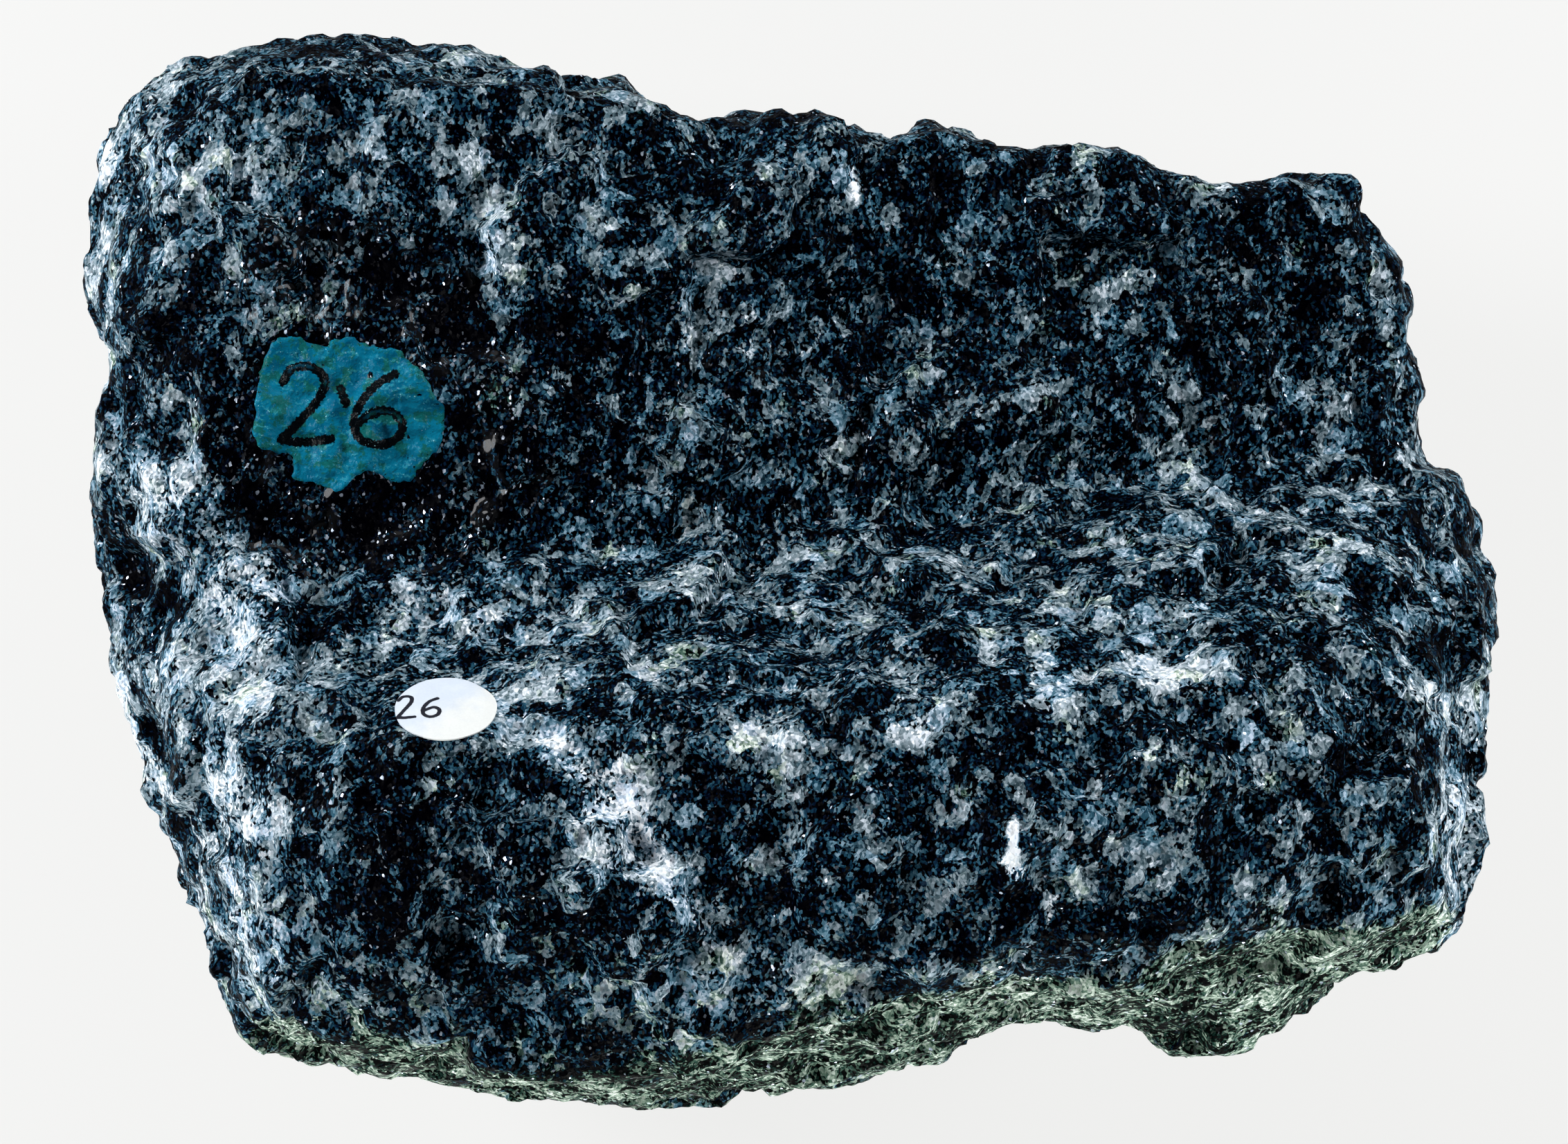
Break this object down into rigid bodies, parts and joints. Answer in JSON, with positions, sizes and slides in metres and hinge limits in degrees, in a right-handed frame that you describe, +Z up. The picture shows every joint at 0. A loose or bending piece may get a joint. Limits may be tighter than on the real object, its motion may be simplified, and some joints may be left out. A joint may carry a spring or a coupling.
{
  "type": "gabbro hand specimen",
  "caption": "Broken block of dark, coarse-grained gabbro with a low terrace, a steep ledge and a raised front, lying on a small flat spot, with a round paper number label.",
  "frame": {"origin": "on the surface that the stone rests on, under the middle of its outline", "axes": "+Z up, out of the face that the picture looks onto; +X along the stone's length, with the paper label towards -X; +Y from the raised front to the low terrace at the back"},
  "size_m": [0.1165, 0.0869, 0.0532],
  "materials": {
    "gabbro": "rough broken surface of glassy black and blue-grey crystals",
    "label_paper": "matt white paper"
  },
  "bodies": {
    "root": {"gabbro_stone": "gabbro", "number_label": "label_paper"}
  },
  "joints": []
}
